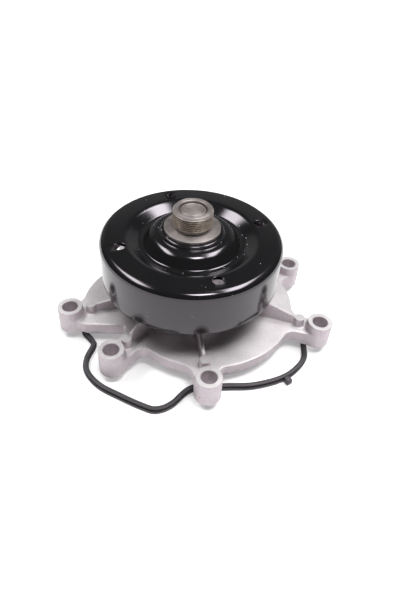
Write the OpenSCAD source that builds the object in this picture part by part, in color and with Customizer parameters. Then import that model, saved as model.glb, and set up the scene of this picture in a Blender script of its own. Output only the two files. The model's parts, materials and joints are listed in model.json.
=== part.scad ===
/* [Pulley] */
// Outside diameter of the smooth belt face
pulley_d = 139.5; // [136:0.5:142]
// Depth of the pulley from its flat rim to the free edge of its skirt
pulley_depth = 36.1; // [32:0.1:38]
// Thickness of the pressed sheet
pulley_sheet = 3; // [2:0.1:3.2]
// Outside radius of the bend between the rim and the skirt
pulley_bend_r = 5.4; // [5:0.1:8]
// Diameter of the circle through the four tool holes
tool_pcd = 111.4; // [108:0.1:114]
// Diameter of each tool hole
tool_hole_d = 8.4; // [6:0.1:10]

/* [Fan hub] */
// Diameter of the threaded stud that carries the fan clutch
stud_d = 30; // [28:0.5:32]
// Length of the stud above its flange
stud_len = 15.4; // [13:0.1:18]
// Diameter of the flange that clamps the pulley
hub_flange_d = 42.6; // [40:0.1:46]
// Diameter of the pilot pressed into the pulley
hub_pilot_d = 36; // [34:0.5:38]

/* [Shaft and bearing] */
// Diameter of the one-piece bearing shaft
shaft_d = 15.918; // [15.9:0.001:15.93]
// Outside diameter of the bearing's outer ring
bearing_d = 38.1; // [38:0.1:40]
// Length of the bearing's outer ring
bearing_len = 40; // [38:0.5:40]
// Ball diameter
ball_d = 6.35; // [6:0.05:6.4]
// Roller diameter
roller_d = 5; // [4.8:0.05:5]

/* [Housing] */
// Height of the eight bolt bosses, and of the housing's mounting plane below their tops
boss_h = 20.2; // [18:0.1:24]
// Outside diameter of a bolt boss
boss_d = 20.4; // [19:0.1:21]
// Diameter of a bolt hole
bolt_hole_d = 12; // [10.5:0.1:12.4]
// Height of the cover plate above the mounting plane
plate_top = 12.6; // [11.5:0.1:14]
// Radius of the round part of the cover plate
plate_r = 72.6; // [71:0.1:74]

/* [Impeller and seal] */
// Outside diameter of the impeller
impeller_d = 74; // [70:0.5:76]
// Number of curved vanes
vanes = 7; // [5:1:8]
// How far the vanes reach below the mounting plane
vane_drop = 7.4; // [6:0.1:9]
// Bore for the mechanical seal
seal_bore_d = 36.5; // [36:0.1:37]

/* [Gasket] */
// Height of the rubber seal ring
gasket_h = 5.2; // [4:0.1:5.3]
// Width of the rubber seal ring
gasket_w = 4.8; // [4:0.1:5.5]

/* [Hidden] */

// Heights along the pump's axis, from the mounting plane at z = 0
rim_z = 78.5;                         // flat rim of the pulley
skirt_z = rim_z - pulley_depth;
flange_z = 86.2;                      // upper face of the hub's flange
flange_t = 2.1;
stud_z = flange_z + stud_len;
hub_foot_z = 70.5;
bearing_z = 28;
bearing_top = bearing_z + bearing_len;
snout_top = bearing_top - 1;
ball_z = 57.5;
roller_z = 39.5;
pocket_z = 7;                         // roof of the impeller pocket
seal_z = 19.5;                        // floor of the mechanical seal's bore
seal_foot_z = 0.2;                    // where the rotating seal parts stand on the impeller
vane_z = -vane_drop;
ground_z = -vane_drop;                // plane that the vanes and the loose gasket lie on

// Radii
shaft_r = shaft_d / 2;
bearing_r = bearing_d / 2;
stud_r = stud_d / 2;
pulley_r = pulley_d / 2;
roll_r = shaft_r + roller_d / 2;      // circle through the middles of the balls and rollers
race_r = roll_r + roller_d / 2;       // bore of the outer ring
cage_half = 1.15;                     // half the thickness of a cage's wall
run_gap = 0.04;                       // radial gap of every running fit
snout_r = 26;
snout_root_r = 33;
pocket_r = 41;
chamber_r = 15.5;
seal_bore_r = seal_bore_d / 2;
sleeve_r = shaft_r + 0.85;
bush_r = 13;
impeller_r = impeller_d / 2;

// The cover plate is a large round lobe with a smaller one beside it, cut off straight at the left arm
plate_c = [14.3, -1];
side_lobe_c = [-27.5, -8];
side_lobe_r = 60;
side_lobe_y = -34;
// Bolt bosses: right, back right, rear right, rear left, back left, left, left front and front
BOSSES = [[105.6, -28.4], [89, 45.6], [40, 82], [-16, 88], [-58, 64], [-94.5, -23.9], [-55.4, -67.2],
    [16.6, -88.5]];
LEFT = 5;
left_root_half = 19.5;                // the left arm is wider at its root than the others
// How much each boss's rib climbs towards the snout, and how far in from the boss its pad stands
RIB_SLOPE = [0.335, 0.3, 0.3, 0.3, 0.3, 0.2, 0.6, 0.3];
PAD_IN = [16.5, 15.5, 15.5, 15.5, 15.5, 16.4, 15.4, 16.2];
pad_r = 4.1;                          // round pads left by the ejector pins at the ribs' outer ends
pad_top = 20;
rib_t = 3.8;
rim_step = 3.6;                       // the plate's edge stands this far above the mounting plane
land_in = 2.2;                        // and the sealing land starts this far in from it
groove_in = 5;
groove_w = 4.4;
groove_deep = 3.4;
arm_half = boss_d / 2 - 0.8;
arm_root_r = 52;                      // radius from the axis at which the arms end inside the plate
bore_chamfer = 0.5;
fillet_r = 7;                         // in the corners between the arms and the plate
snout_root_h = 16;
weep_r = 2.5;
weep_z = 23.5;
weep_turn = 20;                       // degrees from +Y, seen from above

BALL_TURNS = [0:45:315];
ROLLER_TURNS = [0:36:324];
roller_len = 11;
ball_cage_h = 8;
roller_cage_h = 15;

function unit(v) = v / norm(v);
function side(v) = [-v[1], v[0]];
function arc(c, r, a0, a1, n) =
    [for (i = [0:n]) let (a = a0 + (a1 - a0) * i / n) c + r * [cos(a), sin(a)]];

// ---- housing ----------------------------------------------------------------------------------

module cover_lobes(inset) {
    translate(plate_c) circle(r = plate_r - inset, $fn = 96);
    intersection() {
        translate(side_lobe_c) circle(r = side_lobe_r - inset, $fn = 96);
        translate([-100, side_lobe_y + inset]) square([120, 200]);
    }
}

module arm_outline(boss, root_half) {
    u = unit(boss);
    root = u * arm_root_r;
    polygon([boss + side(u) * arm_half, root + side(u) * root_half,
        root - side(u) * root_half, boss - side(u) * arm_half]);
}

module cover_outline() {
    offset(r = -fillet_r) offset(r = fillet_r) {
        cover_lobes(0);
        for (b = BOSSES) arm_outline(b, arm_half + 0.6);
        arm_outline(BOSSES[LEFT], left_root_half);
        for (b = BOSSES) translate(b) circle(r = arm_half, $fn = 24);
    }
}

module rib(i) {
    boss = BOSSES[i];
    u = unit(boss);
    outer = norm(boss) - PAD_IN[i];
    inner = snout_r - 3;
    rotate([0, 0, atan2(u[1], u[0])]) translate([0, rib_t / 2, 0]) rotate([90, 0, 0])
        linear_extrude(rib_t) polygon([[inner, plate_top - 2], [outer, plate_top - 2],
            [outer, pad_top - 0.4], [inner, pad_top - 0.4 + RIB_SLOPE[i] * (outer - inner)]]);
    translate([u[0] * outer, u[1] * outer, plate_top - 2])
        cylinder(r = pad_r, h = pad_top - plate_top + 2, $fn = 32);
}

module housing() {
    color([0.80, 0.77, 0.77]) difference() {
        union() {
            translate([0, 0, rim_step]) linear_extrude(plate_top - rim_step) cover_outline();
            linear_extrude(plate_top - 1) cover_lobes(land_in);
            for (b = BOSSES) {
                translate([b[0], b[1], 0]) cylinder(d = boss_d, h = boss_h, $fn = 64);
                linear_extrude(plate_top - 1) arm_outline(b, arm_half - 0.6);
            }
            translate([0, 0, plate_top - 1])
                cylinder(r1 = snout_root_r, r2 = snout_r, h = snout_root_h, $fn = 96);
            cylinder(r = snout_r, h = snout_top, $fn = 96);
            for (i = [0:len(BOSSES) - 1]) rib(i);
        }
        for (b = BOSSES) translate([b[0], b[1], 0]) {
            translate([0, 0, -1]) cylinder(d = bolt_hole_d, h = boss_h + 2, $fn = 48);
            translate([0, 0, boss_h - bore_chamfer])
                cylinder(d1 = bolt_hole_d, d2 = bolt_hole_d + 4 * bore_chamfer,
                    h = 2 * bore_chamfer, $fn = 48);
        }
        // impeller pocket, seal bore, weep chamber and bearing bore
        translate([0, 0, -1]) cylinder(r = pocket_r, h = pocket_z + 1, $fn = 96);
        cylinder(r = seal_bore_r, h = seal_z, $fn = 64);
        cylinder(r = chamber_r, h = bearing_z + 1, $fn = 64);
        translate([0, 0, bearing_z]) cylinder(r = bearing_r, h = bearing_len + 1, $fn = 64);
        // weep hole, low in the chamber, out through the root of the snout
        translate([0, 0, weep_z]) rotate([-90, 0, weep_turn])
            cylinder(r = weep_r, h = snout_root_r + 8, $fn = 24);
        // groove that takes the rubber seal ring
        translate([0, 0, -1]) linear_extrude(groove_deep + 1) difference() {
            cover_lobes(groove_in);
            cover_lobes(groove_in + groove_w);
        }
    }
}

// ---- pulley and hub ---------------------------------------------------------------------------

// Bends of the sheet from the neck to the rim: [centre r, centre z, radius of the upper surface,
// start angle, end angle, +1 where the sheet lies inside the bend or -1 where it lies outside]
BENDS = [
    [25.2, 82.2, 1, 182, 266, -1],
    [27.2, 74.2, 7, 88, 40, 1],
    [38.2, 74.8, 1.8, 220, 270, -1],
    [40.3, 75.2, 2.2, 270, 308, -1],
    [49.3, rim_z - 3.5, 3.5, 128, 90, 1],
    [pulley_r - pulley_bend_r, rim_z - pulley_bend_r, pulley_bend_r, 90, 0, 1]];
neck_z = flange_z - flange_t;
neck_foot = 206;                      // where the first bend starts on the sheet's lower surface

// One surface of the sheet, t below its upper surface
function pulley_face(t) = concat(
    t == 0 ? concat([[hub_pilot_d / 2, neck_z]], arc([22.6, neck_z - 1.5], 1.5, 90, 8, 4))
        : [[hub_pilot_d / 2, neck_z - t], [21.2, neck_z - t]],
    [for (i = [0:len(BENDS) - 1]) let (b = BENDS[i])
        each arc([b[0], b[1]], b[2] - t * b[5], t > 0 && i == 0 ? neck_foot : b[3], b[4], 6)],
    [[pulley_r - t, skirt_z]]);

function reversed(v) = [for (i = [len(v) - 1:-1:0]) v[i]];

module pulley() {
    color([0.05, 0.05, 0.055]) difference() {
        rotate_extrude($fn = 128) polygon(concat(pulley_face(0), reversed(pulley_face(pulley_sheet))));
        for (a = [-69.7:90:200.3]) rotate([0, 0, a]) translate([tool_pcd / 2, 0, rim_z - pulley_sheet - 5])
            cylinder(d = tool_hole_d, h = pulley_sheet + 10, $fn = 32);
    }
}

module fan_hub() {
    recess_r = 9.6;
    color([0.62, 0.58, 0.54]) rotate_extrude($fn = 96) polygon([
        [shaft_r, hub_foot_z], [hub_pilot_d / 2 - 1, hub_foot_z], [hub_pilot_d / 2, hub_foot_z + 1],
        [hub_pilot_d / 2, flange_z - flange_t], [hub_flange_d / 2 - 0.3, flange_z - flange_t],
        [hub_flange_d / 2, flange_z - flange_t + 0.3], [hub_flange_d / 2, flange_z - 0.4],
        [hub_flange_d / 2 - 0.4, flange_z], [stud_r - 1.1, flange_z], [stud_r - 1.1, flange_z + 1.6],
        [stud_r, flange_z + 2.7], [stud_r, stud_z - 1.3], [stud_r - 1.2, stud_z],
        [recess_r, stud_z], [recess_r - 0.6, stud_z - 1.2], [shaft_r, stud_z - 2.4]]);
}

// ---- shaft and bearing ------------------------------------------------------------------------

module shaft() {
    shaft_top = stud_z - 1.2;
    shaft_foot = vane_z + 0.6;
    color([0.55, 0.53, 0.51]) difference() {
        rotate_extrude($fn = 64) polygon([[0, shaft_foot], [shaft_r - 0.8, shaft_foot],
            [shaft_r, shaft_foot + 0.8], [shaft_r, shaft_top - 0.7], [shaft_r - 0.7, shaft_top],
            [0, shaft_top]]);
        ball_track();
    }
}

module ball_track() {
    translate([0, 0, ball_z]) rotate_extrude($fn = 64)
        translate([roll_r, 0]) circle(r = ball_d / 2 + run_gap, $fn = 24);
}

module bearing_outer_ring() {
    color([0.66, 0.66, 0.68]) difference() {
        translate([0, 0, bearing_z]) cylinder(r = bearing_r, h = bearing_len, $fn = 64);
        translate([0, 0, bearing_z - 1]) cylinder(r = race_r, h = bearing_len + 2, $fn = 64);
        ball_track();
    }
}

module bearing_balls() {
    color([0.8, 0.8, 0.82]) for (a = BALL_TURNS) rotate([0, 0, a]) translate([roll_r, 0, ball_z])
        sphere(d = ball_d, $fn = 24);
}

module cage_ring(z, h) {
    translate([0, 0, z - h / 2]) rotate_extrude($fn = 64)
        translate([roll_r - cage_half, 0]) square([2 * cage_half, h]);
}

module ball_cage() {
    color([0.35, 0.27, 0.16]) difference() {
        cage_ring(ball_z, ball_cage_h);
        for (a = BALL_TURNS) rotate([0, 0, a]) translate([roll_r, 0, ball_z])
            sphere(d = ball_d + 2 * run_gap, $fn = 24);
    }
}

module bearing_rollers() {
    color([0.8, 0.8, 0.82]) for (a = ROLLER_TURNS) rotate([0, 0, a])
        translate([roll_r, 0, roller_z - roller_len / 2])
            cylinder(d = roller_d - 2 * run_gap, h = roller_len, $fn = 24);
}

module roller_cage() {
    color([0.35, 0.27, 0.16]) difference() {
        cage_ring(roller_z, roller_cage_h);
        for (a = ROLLER_TURNS) rotate([0, 0, a]) translate([roll_r, 0, roller_z - roller_len / 2 - 0.1])
            cylinder(d = roller_d, h = roller_len + 0.2, $fn = 24);
    }
}

module lip_seal(z, up) {
    color([0.12, 0.12, 0.13]) translate([0, 0, z]) mirror([0, 0, up ? 0 : 1]) rotate_extrude($fn = 64)
        polygon([[shaft_r + run_gap, 0], [shaft_r + 1.2, -0.6], [race_r, -0.6], [race_r, 2],
            [shaft_r + 1.6, 2], [shaft_r + 1.6, 0.7], [shaft_r + run_gap, 0.5]]);
}

module front_bearing_seal() {
    lip_seal(bearing_top - 2.6, true);
}

module rear_bearing_seal() {
    lip_seal(bearing_z + 2.6, false);
}

module slinger() {
    color([0.14, 0.14, 0.15]) rotate_extrude($fn = 64)
        polygon([[shaft_r, 22.6], [10.5, 22.6], [10.5, 24], [13.4, 25.4], [13, 26], [shaft_r, 25.4]]);
}

// ---- mechanical seal --------------------------------------------------------------------------

module seal_cup() {
    color([0.72, 0.58, 0.32]) rotate_extrude($fn = 64) polygon([
        [sleeve_r + 0.6, seal_z - 1], [seal_bore_r - 1, seal_z - 1], [seal_bore_r - 1, pocket_z - 0.9],
        [seal_bore_r + 2.2, pocket_z - 0.9], [seal_bore_r + 2.2, pocket_z], [seal_bore_r, pocket_z],
        [seal_bore_r, seal_z], [sleeve_r + 0.6, seal_z]]);
}

module seal_bellows() {
    color([0.08, 0.08, 0.09]) rotate_extrude($fn = 64) polygon([
        [10.6, 10], [12, 10], [12, 11.6], [12.9, 12.6], [12.9, 13.4], [12, 14.4], [12, 16], [12.6, 17],
        [16.4, 17], [16.4, 18.5], [10.6, 18.5], [10.6, 16], [11.4, 15], [11.4, 12.6], [10.6, 11.6]]);
}

// Round wire wound up a helix: one ring of points every step, joined into a closed tube
module coil_spring(mean_r, wire_d, z0, z1, turns) {
    rings = 20 * turns;
    n = 8;
    pts = [for (i = [0:rings]) let (a = 360 * turns * i / rings, z = z0 + (z1 - z0) * i / rings)
        for (j = [0:n - 1]) let (r = mean_r + wire_d / 2 * cos(360 * j / n))
            [r * cos(a), r * sin(a), z + wire_d / 2 * sin(360 * j / n)]];
    caps = [[for (j = [0:n - 1]) j], [for (j = [n - 1:-1:0]) rings * n + j]];
    walls = [for (i = [0:rings - 1]) for (j = [0:n - 1])
        [i * n + j, (i + 1) * n + j, (i + 1) * n + (j + 1) % n, i * n + (j + 1) % n]];
    polyhedron(points = pts, faces = concat(caps, walls), convexity = 6);
}

module seal_spring() {
    color([0.75, 0.75, 0.77]) coil_spring(14.6, 1.5, 10.8, 16.2, 3);
}

module seal_spring_seat() {
    color([0.7, 0.7, 0.72]) rotate_extrude($fn = 64)
        polygon([[10.6, 8.6], [16.2, 8.6], [16.2, 10], [10.6, 10]]);
}

module carbon_ring() {
    color([0.16, 0.16, 0.17]) rotate_extrude($fn = 64)
        polygon([[10.6, 4.2], [13.2, 4.2], [13.2, 5.6], [15, 6], [15, 8.6], [10.6, 8.6]]);
}

module mating_ring() {
    color([0.88, 0.87, 0.83]) rotate_extrude($fn = 64)
        polygon([[sleeve_r + 0.6, 1.6], [15.4, 1.6], [15.4, 4.15], [sleeve_r + 0.6, 4.15]]);
}

module mating_ring_boot() {
    color([0.08, 0.08, 0.09]) rotate_extrude($fn = 64)
        polygon([[sleeve_r, seal_foot_z], [16.6, seal_foot_z], [16.6, 3.6], [15.4, 3.6],
            [15.4, 1.6], [sleeve_r + 0.6, 1.6], [sleeve_r + 0.6, 4], [sleeve_r, 4]]);
}

module seal_sleeve() {
    color([0.72, 0.72, 0.74]) difference() {
        translate([0, 0, seal_foot_z]) cylinder(r = sleeve_r, h = seal_z - seal_foot_z, $fn = 64);
        translate([0, 0, -1]) cylinder(r = shaft_r, h = seal_z + 2, $fn = 64);
    }
}

// ---- impeller ---------------------------------------------------------------------------------

// Heights of the pressed plate: its dished middle and its flat rim
web_z = -1.6;
rim_low_z = 3.8;
plate_t = 2;

// A vane is a strip between two arcs that start near the eye and sweep back to the rim
module vane() {
    sweep_c = [15, -24.5];
    sweep_r = 30;
    vane_t = 1.9;
    linear_extrude(rim_low_z + 0.1 - vane_z) polygon(concat(
        arc(sweep_c, sweep_r, 92, 46, 7),
        arc(sweep_c, sweep_r - vane_t, 47, 92, 7)));
}

module impeller() {
    color([0.60, 0.60, 0.61]) {
        rotate_extrude($fn = 96) polygon([[bush_r, web_z], [19, web_z], [24.6, rim_low_z],
            [impeller_r, rim_low_z], [impeller_r, rim_low_z + plate_t], [23.8, rim_low_z + plate_t],
            [18.2, seal_foot_z], [bush_r, seal_foot_z]]);
        difference() {
            for (i = [0:vanes - 1]) rotate([0, 0, 360 * i / vanes]) translate([0, 0, vane_z]) vane();
            // the vanes end on the underside of the dished plate
            translate([0, 0, -0.6]) rotate_extrude($fn = 96)
                polygon([[0, 0], [19, 0], [24.1, 5], [0, 5]]);
        }
    }
}

module impeller_bush() {
    color([0.62, 0.60, 0.58]) rotate_extrude($fn = 64) polygon([
        [shaft_r, vane_z + 1.2], [11.4, vane_z + 1.2], [11.4, web_z], [bush_r, web_z],
        [bush_r, seal_foot_z], [shaft_r, seal_foot_z]]);
}

// ---- gasket -----------------------------------------------------------------------------------

// The loose seal ring's middle line on the bench, clockwise from its left end
RING = [[-85, -27.5], [-77, -37], [-75, -42.5], [-78, -57], [-75, -69], [-64, -81], [-47.5, -90],
    [-30, -98], [-20, -100.5], [-9.5, -95.5], [5, -80.5], [29, -77.5], [53, -75], [77, -65.5],
    [93, -49], [96.5, -34], [95, -12], [85, 12], [66, 33], [40, 46], [5, 52], [-30, 48], [-62, 32],
    [-82, 6], [-87, -16]];

// A smooth closed curve through the points
function on_curve(p, i, t) =
    let (n = len(p), a = p[(i + n - 1) % n], b = p[i], c = p[(i + 1) % n], d = p[(i + 2) % n])
    0.5 * (2 * b + (c - a) * t + (2 * a - 5 * b + 4 * c - d) * t * t + (3 * b - a - 3 * c + d) * t * t * t);
function smooth(p, steps) = [for (i = [0:len(p) - 1]) for (k = [0:steps - 1]) on_curve(p, i, k / steps)];
function shifted(p, d) = let (n = len(p))
    [for (i = [0:n - 1]) p[i] + d * side(unit(p[(i + 1) % n] - p[(i + n - 1) % n]))];

module ring_band(w, z0, z1) {
    path = smooth(RING, 3);
    translate([0, 0, z0]) linear_extrude(z1 - z0) difference() {
        polygon(shifted(path, -w / 2));
        polygon(shifted(path, w / 2));
    }
}

module gasket() {
    g = ground_z;
    color([0.13, 0.13, 0.14]) {
        ring_band(gasket_w, g, g + gasket_h * 0.42);
        ring_band(gasket_w - 1.6, g + gasket_h * 0.42, g + gasket_h * 0.58);
        ring_band(gasket_w, g + gasket_h * 0.58, g + gasket_h);
        // tab that is pulled to lift the ring out of its groove
        translate([79, -68.7, g]) cylinder(r = 2.7, h = gasket_h, $fn = 24);
    }
}

housing();
pulley();
fan_hub();
shaft();
bearing_outer_ring();
bearing_balls();
ball_cage();
bearing_rollers();
roller_cage();
front_bearing_seal();
rear_bearing_seal();
slinger();
seal_cup();
seal_bellows();
seal_spring();
seal_spring_seat();
carbon_ring();
mating_ring();
mating_ring_boot();
seal_sleeve();
impeller();
impeller_bush();
gasket();
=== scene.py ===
import json
import math

import bpy
import numpy as np
from mathutils import Matrix, Vector


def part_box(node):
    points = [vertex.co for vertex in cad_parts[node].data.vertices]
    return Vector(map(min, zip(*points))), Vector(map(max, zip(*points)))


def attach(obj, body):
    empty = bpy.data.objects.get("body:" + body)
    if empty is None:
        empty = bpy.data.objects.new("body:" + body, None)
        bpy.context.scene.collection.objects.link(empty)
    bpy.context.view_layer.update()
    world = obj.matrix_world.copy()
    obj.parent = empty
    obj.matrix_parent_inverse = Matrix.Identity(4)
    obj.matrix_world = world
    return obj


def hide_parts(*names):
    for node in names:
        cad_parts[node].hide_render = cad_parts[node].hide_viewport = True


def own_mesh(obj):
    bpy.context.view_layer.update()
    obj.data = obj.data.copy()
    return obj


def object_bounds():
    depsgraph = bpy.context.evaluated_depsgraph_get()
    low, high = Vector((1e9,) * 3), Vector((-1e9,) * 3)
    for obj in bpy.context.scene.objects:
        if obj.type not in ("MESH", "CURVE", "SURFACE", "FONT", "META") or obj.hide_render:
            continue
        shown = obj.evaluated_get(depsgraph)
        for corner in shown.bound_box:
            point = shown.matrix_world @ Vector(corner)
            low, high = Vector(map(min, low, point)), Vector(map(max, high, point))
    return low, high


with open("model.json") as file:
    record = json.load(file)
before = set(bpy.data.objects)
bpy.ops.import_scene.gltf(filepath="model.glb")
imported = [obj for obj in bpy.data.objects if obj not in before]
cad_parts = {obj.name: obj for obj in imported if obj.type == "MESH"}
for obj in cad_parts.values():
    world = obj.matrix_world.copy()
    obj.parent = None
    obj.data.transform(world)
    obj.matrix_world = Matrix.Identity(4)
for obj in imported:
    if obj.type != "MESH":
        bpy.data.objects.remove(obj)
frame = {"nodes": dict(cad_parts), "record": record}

cad_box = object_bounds()
NODES = frame["nodes"]
MM = 0.001  # lengths below are in millimetres, as in the design

# ---- the frame's own dimensions ----


def node_box(node):
    """Lowest and highest corner of a CAD node, in millimetres."""
    low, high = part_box(node)
    return np.array(low) / MM, np.array(high) / MM


HOUSING_LOW, HOUSING_HIGH = node_box("housing")
PULLEY_LOW, PULLEY_HIGH = node_box("pulley")
HUB_LOW, HUB_HIGH = node_box("fan_hub")
GASKET_LOW, GASKET_HIGH = node_box("gasket")
SHAFT_R, SHAFT_TOP = node_box("shaft")[1][0], node_box("shaft")[1][2]
MOUNTS = {m["name"]: m for m in frame["record"]["mounts"]}
BOSSES = {name[len("bolt_hole_"):]: np.array(m["pos_m"][:2]) / MM
          for name, m in MOUNTS.items() if name.startswith("bolt_hole_")}
BOLT_R = MOUNTS["bolt_hole_front"]["dims"]["r_mm"]

# ---- mesh helpers ----


def placed(name, data):
    """A new object in the scene."""
    obj = bpy.data.objects.new(name, data)
    bpy.context.scene.collection.objects.link(obj)
    return obj


def new_object(name, points, faces):
    """A mesh object from points in millimetres."""
    mesh = bpy.data.meshes.new(name)
    mesh.from_pydata((np.asarray(points, float) * MM).tolist(), [], [tuple(f) for f in faces])
    mesh.validate()
    return placed(name, mesh)


def smooth(obj, angle=40):
    """Smooth shading, with edges that turn by more than angle degrees left crisp."""
    mesh = obj.data
    mesh.polygons.foreach_set("use_smooth", [True] * len(mesh.polygons))
    mesh.set_sharp_from_angle(angle=math.radians(angle))
    mesh.update()
    return obj


def bake_modifiers(obj):
    """Applies the object's modifiers to its mesh."""
    graph = bpy.context.evaluated_depsgraph_get()
    mesh = bpy.data.meshes.new_from_object(obj.evaluated_get(graph))
    obj.modifiers.clear()
    obj.data = mesh


def boolean(obj, parts, operation="DIFFERENCE"):
    """Cuts (points, faces) parts that don't touch each other out of obj, or joins them on."""
    tool = joined("tool", parts)
    m = obj.modifiers.new("boolean", "BOOLEAN")
    m.operation = operation
    m.solver = "MANIFOLD"
    m.object = tool
    bake_modifiers(obj)
    bpy.data.objects.remove(tool)


def coated(obj, *materials):
    """The object with these materials and no others."""
    obj.data.materials.clear()
    for material in materials:
        obj.data.materials.append(material)
    return obj


def joined(name, parts):
    """One mesh from (points, faces) pairs."""
    points, faces = [], []
    for p, f in parts:
        start = sum(len(q) for q in points)
        points.append(np.asarray(p, float))
        faces += [tuple(i + start for i in face) for face in f]
    return new_object(name, np.concatenate(points), faces)


def arc(centre, radius, start, end, steps):
    """Points along an arc, angles in degrees."""
    a = np.radians(np.linspace(start, end, steps + 1))
    return np.stack([centre[0] + radius * np.cos(a), centre[1] + radius * np.sin(a)], -1)


def rounded(corners, steps=4):
    """A closed outline from corners (x, y, radius), each turned into an arc of that radius."""
    out = []
    n = len(corners)
    for i, (x, y, radius) in enumerate(corners):
        here = np.array([x, y], float)
        if radius == 0:
            out.append(here)
            continue
        back = np.array(corners[i - 1][:2]) - here
        ahead = np.array(corners[(i + 1) % n][:2]) - here
        back_u, ahead_u = back / np.hypot(*back), ahead / np.hypot(*ahead)
        half = math.acos(np.clip(back_u @ ahead_u, -1, 1)) / 2
        reach = min(radius / math.tan(half), 0.49 * np.hypot(*back), 0.49 * np.hypot(*ahead))
        bisector = (back_u + ahead_u) / np.hypot(*(back_u + ahead_u))
        centre = here + bisector * reach / math.cos(half)
        a, b = here + back_u * reach - centre, here + ahead_u * reach - centre
        turn = math.atan2(a[0] * b[1] - a[1] * b[0], a @ b)
        start = math.degrees(math.atan2(a[1], a[0]))
        out += list(arc(centre, np.hypot(*a), start, start + math.degrees(turn), steps))
    return np.array(out)


def turned_points(r, z, angle):
    """One point for each radius, height and angle."""
    return np.stack([r * np.cos(angle), r * np.sin(angle), z], -1).reshape(-1, 3)


def lathe(outline, segments, radius_at=None):
    """(points, faces) of a closed outline of (r, z) points, either way round, turned about Z.
    radius_at(r, z, angle) may change the radius as it turns."""
    angle = np.linspace(0, 2 * np.pi, segments, endpoint=False)[:, None]
    r = np.repeat(outline[None, :, 0], segments, 0)
    z = np.repeat(outline[None, :, 1], segments, 0)
    if radius_at:
        r = radius_at(r, z, angle)
    faces = closed_grid(segments, len(outline))
    x, y = outline[:, 0], outline[:, 1]
    area = (x * np.roll(y, -1) - np.roll(x, -1) * y).sum()
    return turned_points(r, z, angle), (faces if area > 0 else faces[:, ::-1]).tolist()


def closed_grid(rows, n):
    """Faces between rows of n points, where the last row and point meet the first."""
    i, j = np.meshgrid(np.arange(rows), np.arange(n), indexing="ij")
    k, l = (i + 1) % rows, (j + 1) % n
    return np.stack([i * n + j, k * n + j, k * n + l, i * n + l], -1).reshape(-1, 4)


def turned_solid(outline, segments, centre=(0, 0)):
    """(points, faces) of an outline of (r, z) points that starts and ends on the axis."""
    ring = outline[1:-1]
    n = len(ring)
    angle = np.linspace(0, 2 * np.pi, segments, endpoint=False)[:, None]
    r, z = ring[None, :, 0], np.repeat(ring[None, :, 1], segments, 0)
    ends = np.array([[0, 0, outline[0][1]], [0, 0, outline[-1][1]]])
    points = np.concatenate([turned_points(r, z, angle), ends]) + np.array([*centre, 0])
    faces = []
    for i in range(segments):
        k = (i + 1) % segments
        faces += [(i * n + j, k * n + j, k * n + j + 1, i * n + j + 1) for j in range(n - 1)]
        faces.append((segments * n, k * n, i * n))
        faces.append((segments * n + 1, i * n + n - 1, k * n + n - 1))
    return points, faces


def prism(outline, low, high):
    """(points, faces) of a flat outline, anticlockwise from above, between two heights."""
    n = len(outline)
    outline = np.asarray(outline, float)
    points = np.concatenate([np.c_[outline, np.full(n, low)], np.c_[outline, np.full(n, high)]])
    faces = [(i, (i + 1) % n, n + (i + 1) % n, n + i) for i in range(n)]
    return points, faces + [tuple(range(n))[::-1], tuple(range(n, 2 * n))]


def sweep(path, section):
    """(points, faces) of a section (across, up) carried round a closed level path."""
    ahead = np.roll(path, -1, 0) - np.roll(path, 1, 0)
    ahead /= np.linalg.norm(ahead, axis=1, keepdims=True)
    across = np.c_[ahead[:, 1], -ahead[:, 0]]
    flat = path[:, None, :] + across[:, None, :] * section[None, :, :1]
    up = np.repeat(section[None, :, 1:], len(path), 0)
    points = np.concatenate([flat, up], -1).reshape(-1, 3)
    return points, closed_grid(len(path), len(section))[:, [0, 3, 2, 1]].tolist()


# ---- materials ----


def shader_node(tree, kind, **settings):
    """A new node of that kind in a material's, lamp's or world's tree."""
    made = tree.nodes.new("ShaderNode" + kind)
    for key, value in settings.items():
        setattr(made, key, value)
    return made


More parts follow.
